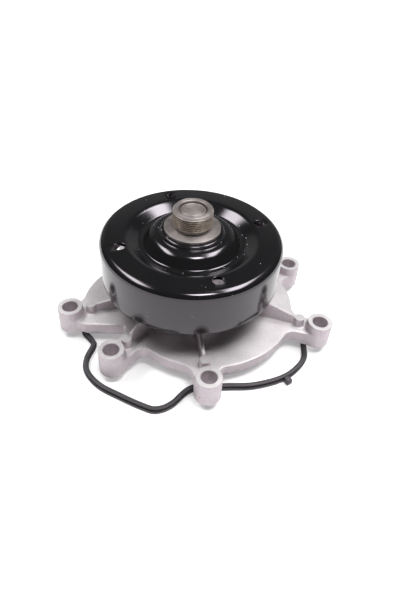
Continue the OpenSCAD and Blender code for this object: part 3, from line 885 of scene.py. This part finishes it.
def closed_curve(p, steps):
    """A smooth closed curve through the points."""
    a, c, d = np.roll(p, 1, 0), np.roll(p, -1, 0), np.roll(p, -2, 0)
    t = np.linspace(0, 1, steps, endpoint=False)[None, :, None]
    a, b, c, d = (v[:, None, :] for v in (a, p, c, d))
    curve = 2 * b + (c - a) * t + (2 * a - 5 * b + 4 * c - d) * t ** 2
    return (curve + (3 * b - a - 3 * c + d) * t ** 3).reshape(-1, 2) / 2


def make_gasket(material):
    """The moulded ring, a foot with a narrower bead on it, and its pull tab."""
    w, low, high = GASKET_W / 2 - 0.1, GASKET_LOW[2], GASKET_HIGH[2]
    tall = high - low
    right = [(w - 0.2, low, 0.4), (w, low + 0.48 * tall, 0.4), (w - 1.4, low + 0.42 * tall, 0.2),
             (w - 1.4, low + 0.76 * tall, 0.2), (w - 0.7, low + 0.82 * tall, 0.25), (w - 0.8, high, 0.5)]
    left = [(-x, z, radius) for x, z, radius in right[::-1]]
    section = rounded(right + left, 4)
    path = closed_curve(RING[::-1], 14)
    body = joined("gasket_moulding", [sweep(path, section)])
    tab = rounded([(-2.5, low, 0.4), (2.5, low, 0.4), (2.3, high - 0.4, 0.9), (-2.3, high - 0.4, 0.9)])
    out = TAB - path[np.argmin(np.hypot(*(path - TAB).T))]  # away from the ring's nearest point
    out /= np.hypot(*out)
    side = np.array([-out[1], out[0]])
    n = len(tab)
    stations = [(-2.2, 1.0), (1.8, 1.0), (2.5, 0.93), (2.8, 0.8)]  # distance out from TAB, scale
    points = [(*(TAB + out * way + side * scale * x), low + (z - low) * (0.5 + scale / 2))
              for way, scale in stations for x, z in tab]
    last = len(stations) - 1
    faces = [(k * n + i, k * n + (i + 1) % n, (k + 1) * n + (i + 1) % n, (k + 1) * n + i)
             for k in range(last) for i in range(n)]
    faces += [tuple(range(n))[::-1], tuple(range(n * last, n * (last + 1)))]
    boolean(body, [(points, faces)], "UNION")
    return smooth(coated(body, material), 50)


# ---- impeller ----

VANES = 7
VANE_C, VANE_R, VANE_T = (15, -24.5), 30, 1.9  # a vane is a strip between two arcs about this centre
VANE_LOW, VANE_HIGH = -7.4, 3.9
VANE_FROM, VANE_TO = 46, 92
PLATE_HOLE_R, DISH_R, WALL_R, IMPELLER_R = 13, 19, 24.6, 37  # hole, dish floor, wall and rim
DISH_Z, FLAT_Z, PLATE_T = -1.6, 3.8, 2  # undersides of dish and rim, the rim's thickness


def make_impeller(steel):
    """A pressed plate with curved vanes welded under it."""
    strip = np.concatenate([arc(VANE_C, VANE_R - VANE_T, VANE_TO, VANE_FROM, 24),
                            arc(VANE_C, VANE_R, VANE_FROM, VANE_TO, 24)])
    vanes = []
    for i in range(VANES):
        c, s = math.cos(2 * math.pi * i / VANES), math.sin(2 * math.pi * i / VANES)
        vanes.append(prism(strip @ np.array([[c, s], [-s, c]]), VANE_LOW, VANE_HIGH))
    body = joined("impeller_vanes", vanes)
    inside_dish = np.array([[0, DISH_Z + 1], [DISH_R, DISH_Z + 1], [WALL_R - 0.5, FLAT_Z + 0.6],
                            [0, FLAT_Z + 0.6]])
    boolean(body, [turned_solid(inside_dish, 192)])
    plate = rounded([(PLATE_HOLE_R, DISH_Z, 0.2), (DISH_R, DISH_Z, 1.4), (WALL_R, FLAT_Z, 1.2),
                     (IMPELLER_R, FLAT_Z, 0.3), (IMPELLER_R, FLAT_Z + PLATE_T, 0.3),
                     (WALL_R - 0.8, FLAT_Z + PLATE_T, 2.4), (DISH_R - 0.8, DISH_Z + 1.8, 0.5),
                     (PLATE_HOLE_R, DISH_Z + 1.8, 0.2)], 6)
    boolean(body, [lathe(plate, 192)], "UNION")
    return smooth(coated(body, steel), 30)


# ---- spring and bellows of the seal ----

SEAL_FIXED_Z, SEAL_FREE_Z = 18.5, 10  # the cup's floor, and the seat that floats on the spring
SPRING_R, WIRE_R, SPRING_TURNS = 14.6, 0.75, 3
SPRING_LOW, SPRING_HIGH = 10.8, 16.2  # height of the wire's middle at its two ends
BELLOWS_IN_R, BELLOWS_R, FOLD_R, COLLAR_R = 10.6, 12, 12.9, 16.4
FOLD_LOW, FOLD_HIGH, COLLAR_Z = 11.6, 14.4, 17.02
SEAL_GAP = 0.02  # room left between the bellows and what it bears on


def coil(wire_sides=14, per_turn=56):
    """(points, faces) of a round wire wound up a helix."""
    n = SPRING_TURNS * per_turn
    i, j = np.meshgrid(np.arange(n + 1), np.arange(wire_sides), indexing="ij")
    turn, round_wire = 2 * np.pi * i / per_turn, 2 * np.pi * j / wire_sides
    r = SPRING_R + WIRE_R * np.cos(round_wire)
    z = SPRING_LOW + (SPRING_HIGH - SPRING_LOW) * i / n + WIRE_R * np.sin(round_wire)
    points = turned_points(r, z, turn)
    i, j = i[:-1], j[:-1]
    k = (j + 1) % wire_sides
    faces = np.stack([i * wire_sides + j, (i + 1) * wire_sides + j,
                      (i + 1) * wire_sides + k, i * wire_sides + k], -1).reshape(-1, 4).tolist()
    last = n * wire_sides
    return points, faces + [tuple(range(wire_sides)), tuple(range(last, last + wire_sides))[::-1]]


def make_spring(steel):
    """The seal's coil spring."""
    return smooth(coated(joined("seal_coil_spring", [coil()]), steel))


def make_bellows(rubber_finish):
    """A sleeve with one fold in its wall, and a collar that bears on the cup's floor."""
    low, high = SEAL_FREE_Z + SEAL_GAP, SEAL_FIXED_Z - SEAL_GAP
    inside_fold = BELLOWS_IN_R + 0.8
    outline = rounded([(BELLOWS_IN_R, low, 0.2), (BELLOWS_R, low, 0.2), (BELLOWS_R, FOLD_LOW, 0.4),
                       (FOLD_R, FOLD_LOW + 1, 0.3), (FOLD_R, FOLD_HIGH - 1, 0.3),
                       (BELLOWS_R, FOLD_HIGH, 0.4), (BELLOWS_R, COLLAR_Z - 1.02, 0.4),
                       (BELLOWS_R + 0.6, COLLAR_Z, 0.3), (COLLAR_R, COLLAR_Z, 0.2),
                       (COLLAR_R, high, 0.2), (BELLOWS_IN_R, high, 0.2),
                       (BELLOWS_IN_R, COLLAR_Z - 1.02, 0.3), (inside_fold, FOLD_HIGH + 0.6, 0.3),
                       (inside_fold, FOLD_LOW + 1, 0.3), (BELLOWS_IN_R, FOLD_LOW, 0.3)])
    return smooth(coated(joined("seal_bellows_moulding", [lathe(outline, 128)]), rubber_finish))


def yields_to_seal(piece):
    """Gives the piece a mesh of its own."""
    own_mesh(piece)


# ---- stage ----

FLOOR_HALF, FLOOR_GAP = 6000, 0.05  # half its side, its gap under the pump
SHADOW_LIFT = 0.24  # light that the floor gives off, so that its shadows stay pale
GLOW_FROM, GLOW_TO, GLOW = 260, 900, 1.6  # radii where its glow starts and is full, its strength


def make_floor():
    """A white studio floor that glows where it runs off into the distance."""
    half, ground = FLOOR_HALF, cad_box[0].z / MM - FLOOR_GAP
    floor = new_object("floor", [(-half, -half, ground), (half, -half, ground), (half, half, ground),
                                 (-half, half, ground)], [(0, 1, 2, 3)])
    f = Finish("floor", Roughness=0.7, Specular_IOR_Level=0.2)
    f.colour((0.86, 0.86, 0.86, 1))
    glow = f.spread(f.radius(), GLOW_FROM, GLOW_TO, 0, GLOW)
    f.shader.inputs["Emission Color"].default_value = (1, 1, 1, 1)
    f.put(f.math("ADD", glow, SHADOW_LIFT), f.shader.inputs["Emission Strength"])
    floor.data.materials.append(f.done())


def direction(azimuth, elevation):
    """Unit vector, with azimuth clockwise from +Y seen from above, in degrees."""
    a, e = math.radians(azimuth), math.radians(elevation)
    return Vector((math.sin(a) * math.cos(e), math.cos(a) * math.cos(e), math.sin(e)))


SOFT_EDGE = 0.32  # share of a lamp's width over which it fades
LAMP_AIM = Vector((0, 0, 0.05))
LAMP_DISTANCE, BACKDROP_DISTANCE = 0.95, 1.5
WORLD_LIGHT = 0.05  # strength of the white world for all but the camera


def softbox(name, azimuth, elevation, distance, size, radiance):
    """A lamp behind cloth that faces the pump and fades out towards its edges. Sizes in metres."""
    data = bpy.data.lights.new(name, "AREA")
    data.shape = "RECTANGLE"
    data.size, data.size_y = size
    data.energy = radiance * math.pi * size[0] * size[1]
    data.use_nodes = True
    tree = data.node_tree
    link = tree.links.new
    axes = shader_node(tree, "SeparateXYZ")
    link(shader_node(tree, "NewGeometry").outputs["Parametric"], axes.inputs[0])
    both = shader_node(tree, "Math", operation="MULTIPLY")
    for axis in (0, 1):
        ping = shader_node(tree, "Math", operation="PINGPONG")
        ping.inputs[1].default_value = 0.5
        link(axes.outputs[axis], ping.inputs[0])
        fade = shader_node(tree, "MapRange", interpolation_type="SMOOTHSTEP")
        fade.inputs["From Max"].default_value = SOFT_EDGE
        link(ping.outputs[0], fade.inputs["Value"])
        link(fade.outputs["Result"], both.inputs[axis])
    link(both.outputs[0], tree.nodes["Emission"].inputs["Strength"])
    lamp = placed(name, data)
    away = direction(azimuth, elevation)
    lamp.location = LAMP_AIM + away * distance
    lamp.rotation_euler = away.to_track_quat("Z", "Y").to_euler()
    return lamp


def make_lights():
    """Two side lamps, one overhead, a dim backdrop that stays out of sight and a faint world."""
    softbox("softbox_left", -76, 57, LAMP_DISTANCE, (1.0, 0.34), 12.5)
    softbox("softbox_right", 70, 63, LAMP_DISTANCE, (1.05, 0.36), 15)
    softbox("softbox_top", 150, 72, LAMP_DISTANCE, (0.38, 0.34), 29)
    softbox("backdrop", 0, 18, BACKDROP_DISTANCE, (4, 1.2), 0.22).visible_camera = False
    world = bpy.data.worlds.new("studio")
    bpy.context.scene.world = world
    world.use_nodes = True
    tree = world.node_tree
    back = tree.nodes["Background"]
    level = shader_node(tree, "MapRange")
    level.inputs["To Min"].default_value = WORLD_LIGHT
    seen = shader_node(tree, "LightPath").outputs["Is Camera Ray"]
    tree.links.new(seen, level.inputs["Value"])
    tree.links.new(level.outputs["Result"], back.inputs["Strength"])
    back.inputs["Color"].default_value = (1, 1, 1, 1)


CAMERA_PLACE, CAMERA_LENS = (0, -0.2991, 0.2886), 28.73
CAMERA_PAN, CAMERA_TILT, CAMERA_ROLL = -1.863, 47.13, 3.962


def make_camera():
    """In front of the pump and above it, aimed about 43 degrees below the horizon."""
    data = bpy.data.cameras.new("camera")
    data.sensor_width = 36
    data.lens = CAMERA_LENS
    data.clip_start = 0.01
    camera = placed("camera", data)
    pan, tilt, roll = (math.radians(v) for v in (CAMERA_PAN, CAMERA_TILT, CAMERA_ROLL))
    turn = Matrix.Rotation(pan, 4, "Z") @ Matrix.Rotation(tilt, 4, "X") @ Matrix.Rotation(roll, 4, "Z")
    camera.matrix_world = Matrix.Translation(CAMERA_PLACE) @ turn
    bpy.context.scene.camera = camera
    bpy.context.scene.view_settings.view_transform = "Standard"


# ---- the object ----

# How each finish is made, and from what
LOOKS = {
    "cast_aluminium": (cast_aluminium,),
    "machined_aluminium": (machined_aluminium,),
    "cored_aluminium": (cast_aluminium, 2.6),
    "black_paint": (black_paint,),
    "turned_steel": (turned_steel,),
    "hub_steel": (turned_steel, (THREAD_LOW, THREAD_HIGH)),
    "bearing_steel": (metal, (0.50, 0.50, 0.51), (0.60, 0.60, 0.61), 0.14, 0.26, 0.12),
    "cage_nylon": (dull, (0.20, 0.13, 0.06), (0.28, 0.19, 0.09), 0.38, 0.52, 0.6, 0.02),
    "seal_rubber": (rubber, 0.013, 0.45),
    "brass_cup": (metal, (0.60, 0.42, 0.16), (0.72, 0.53, 0.24), 0.22, 0.36, 0.2),
    "stainless": (metal, (0.55, 0.55, 0.56), (0.66, 0.66, 0.67), 0.20, 0.34, 0.2),
    "carbon": (dull, (0.018, 0.018, 0.020), (0.030, 0.030, 0.033), 0.28, 0.42, 0.3, 0.01),
    "ceramic": (dull, (0.72, 0.69, 0.62), (0.80, 0.78, 0.72), 0.18, 0.30, 0.4, 0.005),
    "impeller_steel": (metal, (0.42, 0.42, 0.43), (0.54, 0.54, 0.55), 0.30, 0.46, 0.4),
    "gasket_rubber": (rubber, 0.028, 0.40),
}
FINISHES = {name: make(name, *look) for name, (make, *look) in LOOKS.items()}
# The CAD's own meshes that are kept, under the finish of each
KEPT_MESHES = {
    "turned_steel": ("shaft", "impeller_bush"),
    "bearing_steel": ("bearing_outer_ring", "bearing_balls", "bearing_rollers"),
    "cage_nylon": ("ball_cage", "roller_cage"),
    "seal_rubber": ("front_bearing_seal", "rear_bearing_seal", "slinger", "mating_ring_boot"),
    "brass_cup": ("seal_cup",),
    "stainless": ("seal_spring_seat", "seal_sleeve"),
    "carbon": ("carbon_ring",),
    "ceramic": ("mating_ring",),
}


def stands_for(piece, node, body):
    """The piece rides on the body in the CAD node's place, and that node is hidden."""
    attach(piece, body)
    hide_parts(node)


make_camera()
for finish, names in KEPT_MESHES.items():
    for name in names:
        for slot in NODES[name].material_slots:
            slot.material = FINISHES[finish]
skins = [FINISHES[name] for name in ("cast_aluminium", "machined_aluminium", "cored_aluminium")]
stands_for(make_housing(*skins), "housing", "pump_body")
stands_for(make_pulley(FINISHES["black_paint"]), "pulley", "rotor")
stands_for(make_fan_hub(FINISHES["hub_steel"]), "fan_hub", "rotor")
stands_for(make_gasket(FINISHES["gasket_rubber"]), "gasket", "gasket_ring")
stands_for(make_impeller(FINISHES["impeller_steel"]), "impeller", "rotor")
spring, bellows = make_spring(FINISHES["stainless"]), make_bellows(FINISHES["seal_rubber"])
stands_for(spring, "seal_spring", "pump_body")
stands_for(bellows, "seal_bellows", "pump_body")
yields_to_seal(spring)
yields_to_seal(bellows)
make_floor()
make_lights()
